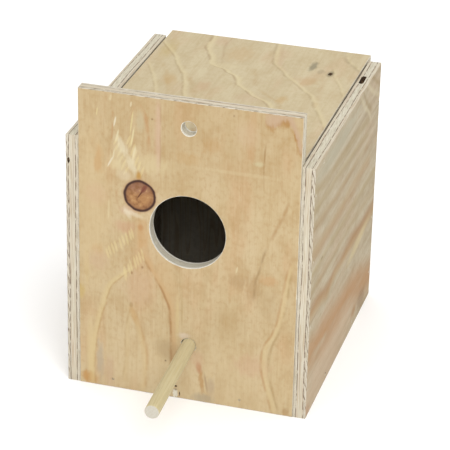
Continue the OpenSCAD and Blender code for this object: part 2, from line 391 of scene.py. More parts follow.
    # The knot: a dark bark ring round brown wood with a check from its heart to the upper right,
    # pale compressed wood round it and a wedge of resin above.
    push = s.fibres(6, 6, detail=2.0)
    shove = s.math("MULTIPLY_ADD", push, 1.6, -0.8)
    wobbly = s.add("VectorMath", [s.at, s.add("CombineXYZ", [shove, shove])], operation="ADD")
    out = s.round_off((-32.2, 145.0), (10.55, 10.75), place=wobbly)
    heart = s.fibres(3.5, 3.5, detail=4.0)
    flesh = s.lay(
        linear("#9b7249"),
        (s.patch((-33, 152), (11, 6), 0.65, ragged=heart), "#805b4d"),
        (s.mask(heart, 0.45, 0.66, 0.75), "#764e2e"),
        (s.mask(heart, 0.45, 0.3, 0.7), "#ad885c"),
        (s.mask(out, 0.5, 0.92, 0.55), "#6f4831"))
    wood = s.lay(
        wood,
        (s.patch((-40, 133.5), (6, 4), 0.55), "#b99d88"),
        (s.frayed((-36, 131.4), (7, 1.8), 0.5, tilt=16), "#c7bba0"),
        (s.frayed((-40.5, 131.5), (2.0, 4.5), 0.5, tilt=-35), "#c7bca2"),
        (s.patch((-43, 158), (5, 4), 0.45), "#c0b195"),
        (s.patch((-33, 158.6), (1.9, 4.4), 0.85), "#a27a39"),
        (s.mask(out, 1.25, 1.02, 0.6), "#a68563"),
        (s.mask(out, 1.1, 0.99), "#3a221b"),
        (s.mask(out, 0.95, 0.82), flesh),
        (s.scratch((-34.2, 142.6), (-28, 152.4), 0.9, 0.9), "#51281b"),
        (s.scratch((-31.2, 147.2), (-27.6, 153.2), 2.6, 0.75), "#6b3b2d"),
        (s.patch((-24.2, 199.7), (0.8, 0.8), 0.5), "#6b5236"),
        (s.patch((29.2, 209.6), (0.7, 0.9), 0.4), "#6b5236"),
        (s.patch((-13.8, 27), (0.8, 0.8), 0.6), "#503e2a"),
        (s.patch((11.0, 16.5), (1.9, 10.5), 0.65, tilt=-7, ragged=s.fibres(1.5, 4)), "#9f7948"),
        (s.patch((9.3, 25.5), (2.2, 5), 0.6, tilt=-7), "#a27553"),
        (s.patch((14.2, 15), (0.9, 8), 0.5, tilt=-9), "#886f52"),
        (s.frayed((-36, 57.5), (2.6, 8), 0.45, tilt=-20), "#a6804d"),
        (s.patch((-37.8, 65), (1.4, 2.2), 0.5), "#90754a"),
        (s.patch((-30.2, 93.8), (0.9, 1.1), 0.6), "#805f3e"),
        (s.patch((-37.5, 88.6), (0.9, 1.3), 0.6), "#805f3e"),
        (s.frayed((-1.5, 48), (4.5, 2.4), 0.7), "#bfaf9a"),
        # Painted shadow of the perch: a soft dark patch on the face, below and to the left of its foot.
        (s.patch((-12, 35), (11, 8), 0.35, tilt=25), "#856d4a"))
    return s.finish_veneer(wood)


def banded_face():
    """Flat-cut pine face veneer on the sides: tan, with late wood in wide bands along the board,
    and one broad orange band near the bottom."""
    s = Surface("flat_cut_pine_side")
    wood = s.veneer("#aca088", "#a3957b", "#918060", "#a68e72")
    s.broken = s.mask(s.fibres(16, 80), 0.2, 0.5)
    waves = s.fibres(5.6, 150, detail=1.0)
    wood = s.lay(
        wood,
        (s.mask(waves, 0.5, 0.68, 0.42), "#8b795c"),
        (s.mask(waves, 0.46, 0.28, 0.36), "#b0a48f"))
    s.ragged = s.fibres(3, 14, detail=4.0)
    across, along = s.swayed(1.6, 14, 30)
    wood = s.lay(
        wood,
        (s.frayed((171, -32), (8, 62), 0.6), "#a09b85"),
        (s.frayed((16, -30), (24, 95), 0.6, tilt=3), "#b29a7f"))
    for course, late_mm, strength, late, early, early_mm in (
            (((-92, 165.5), (-70, 160.5), (-40, 158.5), (0, 156.5), (30, 155), (62, 150)),
             4.0, 0.55, "#907d55", None, 0),
            (((-92, 151), (-60, 148.5), (-20, 147), (20, 144.5), (62, 140)),
             3.4, 0.5, "#907d55", "#b1a585", 4.5),
            (((-92, 140), (-75, 136.5), (-50, 134.5), (-20, 132.5), (20, 132), (62, 131)),
             4.2, 0.6, "#8e744d", "#b1a585", 5.5),
            (((-92, 119.5), (-75, 117.5), (-50, 117), (-20, 116), (20, 117.5), (70, 116)),
             6.0, 0.6, "#95754b", "#b1a585", 9),
            (((-90, 104), (-60, 104), (-20, 103), (20, 102), (60, 101), (90, 100)),
             3.6, 0.5, "#907d55", "#afa27f", 6),
            (((-92, 91), (-60, 92), (-30, 91), (0, 91), (40, 89), (90, 86)), 4.0, 0.45, "#937d54", None, 0),
            (((-92, 78.5), (-60, 76), (-45, 72.5), (-20, 77.5), (0, 76), (20, 76), (50, 73), (92, 71)),
             6.5, 0.75, "#906a3d", "#b2a47f", -10),
            (((-92, 46), (-60, 43), (-30, 40), (0, 37), (30, 34), (50, 29), (70, 23), (92, 16)),
             13.5, 0.75, "#9d7141", None, 0),
            (((24, 190), (36, 175), (46, 166), (58, 158), (66, 150)), 2.2, 0.6, "#b5a98a", None, 0),
            (((32, 190), (44, 174), (54, 165), (66, 157)), 2.4, 0.55, "#836f43", None, 0),
            (((44, 186), (62, 173), (76, 165), (92, 158)), 2.4, 0.6, "#b6aa8b", None, 0),
            (((60, 184), (75, 175), (94, 164)), 2.4, 0.55, "#836f43", None, 0)):
        wood = s.ring_line(wood, along, across, course, late_mm * SIDE_LATE_WIDTH,
                           strength * SIDE_LATE_SHARE, late, early, early_mm, SIDE_EARLY_SHARE)
    wood = s.lay(
        wood,
        (s.patch((65, 45), (5, 34), 0.6, tilt=6), "#b9a880"),
        (s.frayed((9, 64), (9, 13), 0.4), "#704d28"),
        (s.frayed((11, 42), (4, 8), 0.6), "#92662f"),
        (s.patch((105.5, -64), (0.9, 3.0), 0.6), "#6c5936"),
        (s.frayed((4, -88), (5, 6), 0.5), "#9e775a"))
    return s.finish_veneer(wood)


def lid_face():
    """Rotary-cut pine face veneer on the lid: cream, with ring edges that wander across it."""
    s = Surface("rotary_cut_pine_lid")
    wood = s.veneer("#baad8e", "#b2a383", "#aa9874", "#b39979")
    s.ragged = s.fibres(3, 8, detail=4.0)
    across, along = s.swayed(1.4, 9, 12)
    wood = s.lay(
        wood,
        (s.frayed((-64, 68), (6, 18), 0.35), "#a79255"),
        (s.frayed((-33, 93), (7, 9), 0.35), "#b39479"),
        (s.frayed((-14, 74), (11, 16), 0.42), "#ae9269"),
        (s.frayed((-30, 34), (3.2, 11), 0.42), "#c1b798"),
        (s.frayed((43, 42), (7, 8), 0.35), "#ab8a60"),
        (s.frayed((-47, 16), (5, 11), 0.35, tilt=-20), "#aa884f"),
        (s.frayed((-22, 12), (6, 9), 0.35), "#ac8967"),
        (s.frayed((12, 2), (11, 8), 0.24), "#b39880"),
        (s.frayed((34, 6), (4, 7), 0.35), "#ab8545"),
        (s.frayed((-18, 51), (12, 4), 0.35), "#bcae8a"))
    for course, late_mm, strength, late, early, early_mm in (
            (((-84, -33), (-40, -42), (-12, -49.5), (0, -53), (10, -57), (20, -61), (30, -66),
              (42, -72)), 0.9, 0.6, "#8e7755", "#c7ba92", 4.0),
            (((-84, -25), (-40, -34), (-6, -43), (3, -44), (15, -49), (25, -52), (35, -57),
              (46, -65)), 2.0, 0.4, "#9d7839", None, 0),
            (((-84, -5), (-40, -20), (-10, -30), (0, -33), (10, -36), (20, -39), (30, -43),
              (40, -49), (50, -54), (55, -56), (60, -59), (70, -66), (82, -74)), 1.0, 0.75,
             "#876e49", "#c7ba92", 5.5),
            (((-84, 2), (-40, -14), (-5, -24), (5, -26.5), (12, -30), (20, -34), (28, -37)), 2.2,
             0.6, "#957237", None, 0),
            (((-84, 66), (-40, 47), (-10, 30), (0, 23), (5, 15), (8, 11), (12, 8), (18, 2), (22, -2),
              (27, -4), (33, -6), (37, -9), (40, -14), (45, -18), (48, -25), (52, -30), (60, -32),
              (70, -36), (77, -40), (85, -41), (103, -42)), 1.1, 0.85, "#836746", "#c7ba92", 6.5),
            (((-20, 40), (0, 33), (10, 23), (15, 18), (22, 12), (30, 9), (40, 6), (50, 3)), 2.0,
             0.5, "#9c7943", None, 0),
            (((-60, 84), (-10, 63), (0, 58), (10, 54), (20, 49), (25, 44), (32, 39), (40, 32),
              (48, 25), (55, 21), (58, 18), (62, 15), (66, 12), (75, 10), (85, 8), (103, 5)), 1.2,
             0.7, "#86704e", "#c7ba92", 5.5),
            (((16, 75), (30, 69), (40, 65), (50, 60), (60, 56), (72, 53)), 1.0, 0.55, "#8d7553",
             "#c7ba92", 3.5),
            (((68, 74), (75, 69), (80, 65), (84, 61.5), (90, 58.5), (104, 55)), 2.4, 0.75,
             "#7d6c4e", "#c7ba92", 4.0),
            (((56, -22), (66, -24), (75, -26), (85, -28), (104, -27)), 1.0, 0.55, "#90704f", None, 0),
            (((56, 22), (65, 18), (75, 14.5), (90, 12), (104, 12)), 2.6, 0.55, "#ab856b", None, 0),
            (((0, 58), (20, 56), (50, 52)), 2.0, 0.45, "#a38157", None, 0)):
        wood = s.ring_line(wood, along, across, course, late_mm * LID_LATE_WIDTH,
                           strength * LID_LATE_SHARE, late, early, early_mm, LID_EARLY_SHARE)
    wood = s.lay(
        wood,
        (s.frayed((39.5, 69), (3.0, 8.5), 0.7), "#6f6953"),
        (s.frayed((47, 62), (3.0, 4), 0.35), "#82785f"),
        (s.patch((54, 60), (2.4, 5.5), 0.7), "#5a523a"))
    return s.finish_veneer(wood)


def plain_face(name, light, mid, dark, warm):
    """Plain pine veneer with straight grain and no knot."""
    s = Surface(name)
    wood = s.veneer(light, mid, dark, warm)
    rings = s.fibres(9, 150, detail=1.0)
    saw = s.math("FRACT", s.math("MULTIPLY", rings, 9.0))
    wood = s.lay(wood, (s.mask(saw, 0.55, 0.95, 0.4), "#90754c"), (s.mask(saw, 0.3, 0.05, 0.3), "#bdaf8f"))
    return s.finish_veneer(wood)


def sawn_edge(name, end_cut):
    """A sawn three-ply edge. An end cut shows end grain in the face veneers and long grain in the
    core, and a rip cut shows the reverse. Glue lines are drawn 0.5 mm wide so that they show."""
    s = Surface(name)
    across, along, depth = s.split(s.own)
    place = s.add("CombineXYZ", [depth, across if end_cut else along])
    # Long grain: cream, with lines along the edge.
    lines = s.fibres(0.45, 22, detail=3.0, place=place)
    dark_lines = s.fibres(0.7, 70, detail=2.0, place=place)
    long_grain = s.lay(
        linear("#bfb7a3"),
        (s.mask(lines, 0.5, 0.6, 0.6), "#a38e72"),
        (s.mask(s.fibres(1.0, 46, place=place), 0.5, 0.64, 0.3), "#b59c87"),
        (s.mask(lines, 0.46, 0.32, 0.45), "#cec9bb"),
        (s.mask(dark_lines, 0.56, 0.66, 0.42), "#856d5a"))
    # End grain: greyer, with slanting streaks where the saw laid the fibres over, and fine pits.
    slant = s.fibres(0.5, 9, tilt=6, detail=2.0, place=place)
    specks = s.fibres(0.35, 0.9, detail=2.0, place=place)
    end_grain = s.lay(
        linear("#bdb4a2" if end_cut else "#c1baa6"),
        (s.mask(s.fibres(2, 16, place=place), 0.45, 0.7, 0.5), "#aaa28a"),
        (s.mask(specks, 0.54, 0.7, 0.4), "#7e7260"),
        (s.mask(slant, 0.53, 0.62, 0.35), "#7f705b"),
        (s.mask(slant, 0.44, 0.34, 0.4), "#d0cdc4"))
    veneer, core = (end_grain, long_grain) if end_cut else (long_grain, end_grain)
    first, second = BOARD_MM * OUTER_VENEER, BOARD_MM * (1 - INNER_VENEER)
    in_core = s.math("MULTIPLY", s.mask(depth, first - 0.1, first + 0.1),
                     s.mask(depth, second + 0.1, second - 0.1))
    broken = s.fibres(2, 5, detail=2.0, place=place)
    edge = s.lay(veneer, (in_core, core))
    if end_cut:
        # Torn fibres: dark lines that slant from the glue line out to the face over 10 mm.
        warp = s.fibres(3, 26, detail=2.0, place=place)
        phase = s.math("MULTIPLY_ADD", depth, -0.5, s.math("MULTIPLY", across, 0.1))
        slope = s.math("FRACT", s.math("MULTIPLY_ADD", warp, 1.6, phase))
        torn = s.math("MULTIPLY", s.mask(slope, 0.3, 0.06), s.mask(broken, 0.32, 0.5, 0.9))
        edge = s.lay(edge, (s.math("MULTIPLY", torn, s.mask(depth, first, first - 0.3)), "#695744"))
    for glue in (first, second):
        off = s.math("ABSOLUTE", s.math("SUBTRACT", depth, glue))
        line = s.math("MULTIPLY", s.mask(off, 0.4, 0.08), s.mask(broken, 0.34, 0.54, 0.9))
        edge = s.lay(edge, (line, "#604b3b"))
    rough = s.add("MapRange", [specks, 0.3, 0.7, 0.75, 0.92])
    height = s.math("SUBTRACT", s.math("ADD", specks, lines), slant)
    return s.bare_wood(edge, rough, height, 0.15)


def bored_wall():
    """The wall of a bored hole: clean cut and paler than the face, with the plies in bands."""
    s = Surface("bored_plywood")
    depth = s.split(s.own)[2]
    specks = s.fibres(0.6, 0.6, detail=3.0, depth_mm=0.6)
    first, second = BOARD_MM * OUTER_VENEER, BOARD_MM * (1 - INNER_VENEER)
    in_core = s.math("MULTIPLY", s.mask(depth, first - 0.2, first + 0.2),
                     s.mask(depth, second + 0.2, second - 0.2))
    wall = s.lay(
        linear("#d0ccbf"),
        (in_core, "#bcb5a3"),
        (s.mask(specks, 0.5, 0.7, 0.35), "#9f947e"))
    for glue in (first, second):
        off = s.math("ABSOLUTE", s.math("SUBTRACT", depth, glue))
        wall = s.lay(wall, (s.mask(off, 0.5, 0.1, 0.4), "#766852"))
    return s.bare_wood(wall, 0.8, specks, 0.08)


def torn_void():
    """The inside of a gap in the core or of a pit in a face: splintered wood, darkened partly for its own
    colour and partly by painted shade deep in the hollow.
    """
    s = Surface("torn_core_wood_painted_shade")
    splinters = s.fibres(0.8, 3, detail=3.0)
    # Very dark brown: part the torn wood's own colour, part painted shade in the hollow.
    wood = s.lay(linear("#3f2f20"), (s.mask(splinters, 0.5, 0.7, 0.6), "#806648"))
    return s.bare_wood(wood, 0.95, splinters, 0.3)


def pale_splinters():
    """A shallow chip in a face, and the wall of a nail's hole, where clean white fibres show."""
    s = Surface("splintered_pine")
    splinters = s.fibres(0.5, 4, detail=3.0)
    wood = s.lay(linear("#cec8b6"), (s.mask(splinters, 0.5, 0.7, 0.6), "#a29377"))
    return s.bare_wood(wood, 0.85, splinters, 0.3)


def dowel_side():
    """Turned softwood dowel, bare: pale, slightly green, with straight grain along it."""
    s = Surface("turned_dowel_side")
    wood = s.lay(
        linear("#bbaf8b"),
        (s.mask(s.fibres(1.6, 60, detail=2.0, depth_mm=1.6), 0.48, 0.66, 0.4), "#a6986f"),
        (s.mask(s.fibres(3, 40, detail=2.0, depth_mm=3), 0.46, 0.7, 0.4), "#af9f74"),
        (s.mask(s.fibres(0.4, 14, detail=3.0, depth_mm=0.4), 0.52, 0.72, 0.35), "#9a8762"))
    grain = s.fibres(0.4, 14, detail=3.0, depth_mm=0.4)
    return s.bare_wood(wood, 0.6, grain, 0.05)


def dowel_end():
    """The sawn end of the dowel: pale, with faint growth rings and saw marks."""
    s = Surface("sawn_dowel_end")
    across, _, depth = s.split(s.at)
    rings = s.math("SINE", s.math("MULTIPLY", s.math("ADD", across, depth), 2.2))
    specks = s.fibres(0.5, 0.5, detail=3.0, depth_mm=0.5)
    wood = s.lay(
        linear("#b9b4a7"),
        (s.mask(rings, 0.1, 1.0, 0.12), "#a5987a"),
        (s.mask(specks, 0.5, 0.7, 0.4), "#8f846d"))
    return s.bare_wood(wood, 0.85, specks, 0.08)


def nail_wire():
    """Drawn steel wire under a thin resin coat: tan, half metal and half lacquer, with faint
    lines from the die."""
    s = Surface("resin_coated_nail")
    at = s.add("TexCoord", output=3)
    scale = s.add("VectorMath", [at, (1 / (0.3 * MM),) * 3], operation="MULTIPLY")
    marks = s.add("TexNoise", {"Vector": scale, "Scale": 1.0, "Detail": 3.0})
    steel = s.lay(linear("#a99a7f"), (s.mask(marks, 0.45, 0.7, 0.6), "#88775e"))
    rough = s.add("MapRange", [marks, 0.3, 0.7, 0.42, 0.6])
    bump = s.add("Bump", {"Height": marks, "Strength": 0.6, "Distance": 0.03 * MM})
    metal = s.add("BsdfPrincipled", {"Base Color": steel, "Metallic": 0.55, "Roughness": rough,
                                     "Normal": bump})
    s.add("OutputMaterial", {"Surface": metal})
    return s.material


# ---------------------------------------------------------------- boards

class Board:
    """Where a CAD board lies, in millimetres: its thin axis, its grain axis and its outer face.
    A board that is turned shows the same cut of veneer upside down and end for end."""

    def __init__(self, node, thin, grain, outer, turned=False):
        low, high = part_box(node)
        self.node, self.thin, self.grain, self.outer, self.turned = node, thin, grain, outer, turned
        self.across = 3 - thin - grain
        self.low = [c / MM for c in low]
        self.high = [c / MM for c in high]
        self.thick = self.high[thin] - self.low[thin]
        self.face = self.high[thin] if outer > 0 else self.low[thin]

    def point(self, across, along, depth):
        """A place on the board, across and along its grain and so deep from its outer face."""
        place = [0.0, 0.0, 0.0]
        place[self.across] = across * MM
        place[self.grain] = along * MM
        place[self.thin] = (self.face - self.outer * depth) * MM
        return Vector(place)

    def sway(self, across, along, glue):
        """How much deeper than even the outer (1) or inner (2) glue line lies at a place."""
        spot = Vector((across, along, 0)) / GLUE_SWAY_RUN_MM
        return GLUE_SWAY_MM * noise.noise(spot + Vector((0, 0, self.low[0] + 9.7 * glue)))

    def even_depth(self, across, along, depth):
        """The depth that a place would have if its glue lines lay even."""
        even = (0.0, self.thick * OUTER_VENEER, self.thick * (1 - INNER_VENEER), self.thick)
        real = (0.0, even[1] + self.sway(across, along, 1), even[2] + self.sway(across, along, 2),
                self.thick)
        return float(np.interp(depth, real, even))

    def board_mm(self, place):
        """The reverse: millimetres across, along and deep, for the materials."""
        across, along = place[self.across] / MM, place[self.grain] / MM
        depth = (self.face - place[self.thin] / MM) * self.outer
        depth = self.even_depth(across, along, depth)
        if self.turned:
            across = self.low[self.across] + self.high[self.across] - across
            along = self.low[self.grain] + self.high[self.grain] - along
        return across, along, depth


def outline(board):
    """Points round the board: (place, towards the wood, kind of cut to the next point)."""
    low = (board.low[board.across], board.low[board.grain])
    high = (board.high[board.across], board.high[board.grain])
    corners = [Vector(low), Vector((high[0], low[1])), Vector(high), Vector((low[0], high[1]))]
    cuts = (END_CUT, RIP_CUT, END_CUT, RIP_CUT)
    inwards = [Vector(v) for v in ((0, 1), (-1, 0), (0, -1), (1, 0))]
    points = []
    for side in range(4):
        start, end = corners[side], corners[(side + 1) % 4]
        steps = round((end - start).length / EDGE_STEP_MM)
        for step in range(steps):
            into = inwards[side] if step else inwards[side] + inwards[side - 1]
            points.append((start.lerp(end, step / steps), into, cuts[side]))
    return points


def bore(centre, radius_mm, count, lean=Vector((0, 0)), torn_mm=0.0, torn_at=0.0):
    """A bored hole as the same kind of points. lean shifts it by so much per mm of depth, and
    torn_mm widens it round the angle torn_at, where the bit lifted the fibres."""
    points = []
    for step in range(count):
        angle = 2 * math.pi * step / count
        off = (angle - math.radians(torn_at) + math.pi) % (2 * math.pi) - math.pi
        into = Vector((math.cos(angle), math.sin(angle)))
        reach = radius_mm + torn_mm * math.exp(-(off / TORN_SPREAD) ** 2)
        points.append((Vector(centre) + into * reach, into, BORED))
    return points, lean


def stations(thick):
    """(depth, inset, ply, glue line) of each ring of points through the thickness."""
    first, second = thick * OUTER_VENEER, thick * (1 - INNER_VENEER)
    rings = [(0, EASE_MM, 0, 0), (EASE_MM, 0, 0, 0)]
    for depth, ply, glue in ((first, 0, 1), (second, 1, 2)):
        rings += [(depth - GLUE_HALF_MM, 0, ply, glue), (depth, GLUE_DEPTH_MM, ply, glue),
                  (depth + GLUE_HALF_MM, 0, ply + 1, glue)]
    return rings + [(thick - EASE_MM, 0, 2, 0), (thick, EASE_MM, 2, 0)]


def swept_loop(bm, board, points, seed, lean=Vector((0, 0)), wander_mm=SAW_WANDER_MM):
    """Sweeps a loop of points through the board's thickness. Returns its two end rings' edges."""
    rings = []
    for depth, inset, ply, glue in stations(board.thick):
        ring = []
        for spot, into, _ in points:
            wave = noise.noise(Vector((spot.x * WANDER_PER_MM, spot.y * WANDER_PER_MM, seed + 5.3 * ply)))
            fray = noise.noise(Vector((spot.x * FRAY_PER_MM, spot.y * FRAY_PER_MM, seed + 40)))
            push = inset * (1 + 0.8 * fray) + wander_mm * (0.5 + 0.5 * wave)
            moved = spot + lean * depth + into * push
            stray = board.sway(moved.x, moved.y, glue) if glue else 0.0
            ring.append(bm.verts.new(board.point(moved.x, moved.y, depth + stray)))
        rings.append(ring)
    count = len(points)
    for upper, lower in zip(rings, rings[1:]):
        for number in range(count):
            after = (number + 1) % count
            wall = bm.faces.new((upper[number], upper[after], lower[after], lower[number]))
            wall.material_index = points[number][2]
    ends = []
    for ring in (rings[0], rings[-1]):
        ends.append([bm.edges.get((ring[n], ring[(n + 1) % count])) for n in range(count)])
    return ends


def sawn_mesh(board, seed, holes):
    """The board as a closed mesh: swept walls, and a filled face on each side."""
    bm = bmesh.new()
    loops = [swept_loop(bm, board, outline(board), seed)]
    for points, lean in holes:
        loops.append(swept_loop(bm, board, points, seed + 9, lean, wander_mm=BORE_WANDER_MM))
    for side, cover in ((0, OUTER_FACE), (1, INNER_FACE)):
        edges = [edge for ends in loops for edge in ends[side]]
        filled = bmesh.ops.triangle_fill(bm, use_beauty=True, edges=edges)
        for piece in filled["geom"]:
            if isinstance(piece, bmesh.types.BMFace):
                piece.material_index = cover
    bmesh.ops.recalc_face_normals(bm, faces=bm.faces)
    mesh = bpy.data.meshes.new(board.node + "_board")
    bm.to_mesh(mesh)
    bm.free()
    return mesh


def gouge(centre, half_mm, seed, material=PIT, rough=0.35, square=1.0):
    """A torn-out hollow: a lump with a broken surface, to be cut from a board. A square of less
    than 1 makes the lump boxy."""
    bm = bmesh.new()
    bmesh.ops.create_icosphere(bm, subdivisions=3, radius=1.0)
    for vert in bm.verts:
        lump = 1 + rough * noise.noise(vert.co * 1.6 + Vector((seed, 0, 0)))
        shape = [math.copysign(abs(v) ** square, v) for v in vert.co]
        vert.co = Vector([(c + v * h * lump) * MM for c, v, h in zip(centre, shape, half_mm)])
    for face in bm.faces:
        face.material_index = material
    return bm


def nail_parts(node):
    """Each nail of a CAD node, in metres: its head's outer middle, the way it was driven, and the
    depth and radius of its head."""
    bm = bmesh.new()
    bm.from_mesh(frame["nodes"][node].data)
    bmesh.ops.remove_doubles(bm, verts=bm.verts, dist=1e-6)
    nails, seen = [], set()
    for start in bm.verts:
        if start in seen:
            continue
        island, edge = [], [start]
        seen.add(start)
        while edge:
            vert = edge.pop()
            island.append(vert.co[:])
            for link in vert.link_edges:
                other = link.other_vert(vert)
                if other not in seen:
                    seen.add(other)
                    edge.append(other)
        spots = np.array(island)
        low, high = spots.min(0), spots.max(0)
        axis = int(np.argmax(high - low))
        middle = (low + high) / 2
        flat = np.delete(spots - middle, axis, 1)
        radius = np.hypot(*flat.T)
        head = spots[radius > radius.max() * 0.95, axis]
        sign = 1.0 if head.mean() < middle[axis] else -1.0
        driven = np.zeros(3)
        driven[axis] = sign
        outer = middle.copy()
        outer[axis] = head.min() if sign > 0 else head.max()
        nails.append((Vector(outer), Vector(driven), float(np.ptp(head)), float(radius.max())))
    bm.free()
    return nails


def round_cutter(start, end, radius, material):
    """A round bar from start to end, to be cut from a board."""
    bm = bmesh.new()
    aim = (end - start).to_track_quat("Z", "Y").to_matrix().to_4x4()
    place = Matrix.Translation((start + end) / 2) @ aim
    bmesh.ops.create_cone(bm, cap_ends=True, segments=24, radius1=radius, radius2=radius,
                          depth=(end - start).length, matrix=place)
    for face in bm.faces:
        face.material_index = material
    return bm


def cut_away(piece, cutters):
    """Cuts each cutter out of the piece."""
    scene = bpy.context.scene
    spare = []
    for number, bm in enumerate(cutters):
        mesh = bpy.data.meshes.new("cutter")
        bm.to_mesh(mesh)
        bm.free()
        tool = bpy.data.objects.new("cutter_%d" % number, mesh)
        scene.collection.objects.link(tool)
        cut = piece.modifiers.new("cut_%d" % number, "BOOLEAN")
        cut.operation, cut.solver, cut.object = "DIFFERENCE", "EXACT", tool
        spare.append(tool)
    worked = piece.evaluated_get(bpy.context.evaluated_depsgraph_get())
    old, new = piece.data, bpy.data.meshes.new_from_object(worked)
    piece.modifiers.clear()
    new.name = old.name
    piece.data = new
    used = [old] + [tool.data for tool in spare]
    for tool in spare:
        bpy.data.objects.remove(tool)
    for mesh in used:
        bpy.data.meshes.remove(mesh)


def write_places(mesh, places, seed):
    """Gives each point its own millimetres on the board, and the same shifted by the seed."""
    places = np.array(places, np.float32)
    shift = np.array([seed * 211.0, seed * 137.0, 0.0], np.float32)
    for name, values in (("board_mm", places), ("grain_mm", places + shift)):
        layer = mesh.attributes.new(name, "FLOAT_VECTOR", "POINT")
        layer.data.foreach_set("vector", values.ravel())


def add_piece(name, mesh, body, node):
    """Puts a mesh in the scene in place of its CAD node."""
    piece = bpy.data.objects.new(name, mesh)
    bpy.context.scene.collection.objects.link(piece)
    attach(piece, body)
    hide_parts(node)
    return piece


def make_board(board, seed, faces, holes=(), cutters=()):
    """Builds one board: sawn, bored, then with its nail holes and its faults cut away."""
    mesh = sawn_mesh(board, seed, holes)
    for material in (*faces, SAWN_END, SAWN_RIP, BORE_WALL, GAP, SPLINTER):
        mesh.materials.append(material)
    piece = add_piece(board.node + "_board", mesh, "lid" if board.node == "lid" else "box",
                      board.node)
    if cutters:
        cut_away(piece, cutters)
    piece.data.shade_smooth()
    piece.data.set_sharp_from_angle(angle=math.radians(28))
    write_places(piece.data, [board.board_mm(v.co) for v in piece.data.vertices], seed)


def make_perch():
    """The dowel, along the CAD perch's axis: slightly out of round, its end sawn and eased."""
    cad = np.array([v.co for v in frame["nodes"]["perch"].data.vertices])
    middle = cad.mean(0)
    axis = Vector(np.linalg.svd(cad - middle)[2][0])
    if axis.y > 0:
        axis = -axis
    run = (cad - middle) @ np.array(axis)
    middle = Vector(middle) + axis * float(run.max() + run.min()) / 2
    half = float(np.ptp(run)) / 2
    side = axis.cross(Vector((0, 0, 1))).normalized()
    top = side.cross(axis)
    offset = cad - np.array(middle)
    radius = float(np.hypot(offset @ np.array(side), offset @ np.array(top)).max())
    around, ease, end_rings = 72, 0.45 * MM, 7
    profile = [(-half, radius * 0.5), (-half, radius - ease), (-half + ease, radius)]
    profile += [(-half + ease + (2 * half - 2 * ease) * k / 30, radius) for k in range(1, 31)]
    profile += [(half - ease * 0.35, radius - ease * 0.3), (half, radius - ease)]
    profile += [(half, radius * k / 6) for k in (5, 4, 3, 2, 1)]
    bm = bmesh.new()
    rings, places = [], []
    for reach, wide in profile:
        ring = []
        for step in range(around):
            angle = 2 * math.pi * step / around
            u, v = math.cos(angle) * wide, math.sin(angle) * wide
            dent = noise.noise(Vector((math.cos(angle) * 1.5, math.sin(angle) * 1.5, reach * 40)))
            shrink = 1 - 0.006 * (1 + dent)
            sawn = 0.05 * MM * (1 + noise.noise(Vector((u, v, 0)) / MM)) if reach == half else 0
            place = middle + axis * (reach - sawn) + (side * u + top * v) * shrink
            ring.append(bm.verts.new(place))
            places.append((u / MM, reach / MM, v / MM))
        rings.append(ring)
    for number, (first, second) in enumerate(zip(rings, rings[1:])):
        for step in range(around):
            after = (step + 1) % around
            wall = bm.faces.new((first[step], first[after], second[after], second[step]))
            wall.material_index = int(number >= len(rings) - end_rings or number < 1)
    for ring, reach in ((rings[0], -half), (rings[-1], half)):
        hub = bm.verts.new(middle + axis * reach * 0.9998)
        places.append((0, reach / MM, 0))
        for step in range(around):
            cap = bm.faces.new((ring[step], ring[(step + 1) % around], hub))
            cap.material_index = 1
    bmesh.ops.recalc_face_normals(bm, faces=bm.faces)
    mesh = bpy.data.meshes.new("perch_dowel")
    bm.to_mesh(mesh)
    bm.free()
    for material in (DOWEL_SIDE, DOWEL_END):
        mesh.materials.append(material)
    mesh.shade_smooth()
    mesh.set_sharp_from_angle(angle=math.radians(40))
    write_places(mesh, places, 7)
    add_piece("perch_dowel", mesh, "box", "perch")
    return middle, axis, radius


# ---------------------------------------------------------------- the box

FRONT_BOARD = Board("front_panel", Y, Z, -1)
LEFT_BOARD = Board("left_side", X, Y, -1, turned=True)
RIGHT_BOARD = Board("right_side", X, Y, 1)
BACK_BOARD = Board("back_panel", Y, Z, 1)
FLOOR_BOARD = Board("floor_panel", Z, Y, -1)
LID_BOARD = Board("lid", Z, Y, 1)
BOARD_MM = FRONT_BOARD.thick

FRONT_FACE = front_face()
SIDE_FACE = banded_face()
LID_FACE = lid_face()
INNER_PINE = plain_face("plain_pine_inner", "#bdb7aa", "#b1aa9b", "#9a9284", "#aca08f")
BACK_PINE = plain_face("plain_pine_back", "#b1a483", "#a99775", "#957e57", "#ab8c68")
SAWN_END = sawn_edge("sawn_plywood_end", True)
SAWN_RIP = sawn_edge("sawn_plywood_rip", False)
BORE_WALL = bored_wall()
GAP = torn_void()
SPLINTER = pale_splinters()
DOWEL_SIDE = dowel_side()
DOWEL_END = dowel_end()
NAIL_STEEL = nail_wire()

PERCH_MIDDLE, PERCH_AXIS, PERCH_RADIUS = make_perch()

NAIL_NODES = [name for name in sorted(frame["nodes"]) if name.endswith(("_nail", "_brads"))]
NAILS = {name: nail_parts(name) for name in NAIL_NODES}


def head_holes(board):
    """A cutter for each nail head that is set into the board's outer face."""
    cutters = []
    for nails in NAILS.values():
        for outer, driven, head, radius in nails:
            across, along, depth = board.board_mm(outer)
            inside = (board.low[board.across] < across < board.high[board.across]
                      and board.low[board.grain] < along < board.high[board.grain])
            if inside and abs(driven[board.thin]) > 0.5 and -0.1 < depth < HEAD_DEEPEST_MM:
                start = outer - driven * (depth + CUT_PAST_MM) * MM
                cutters.append(round_cutter(start, outer + driven * head,
                                            radius + NAIL_ROOM_MM * MM, CHIP))
    return cutters


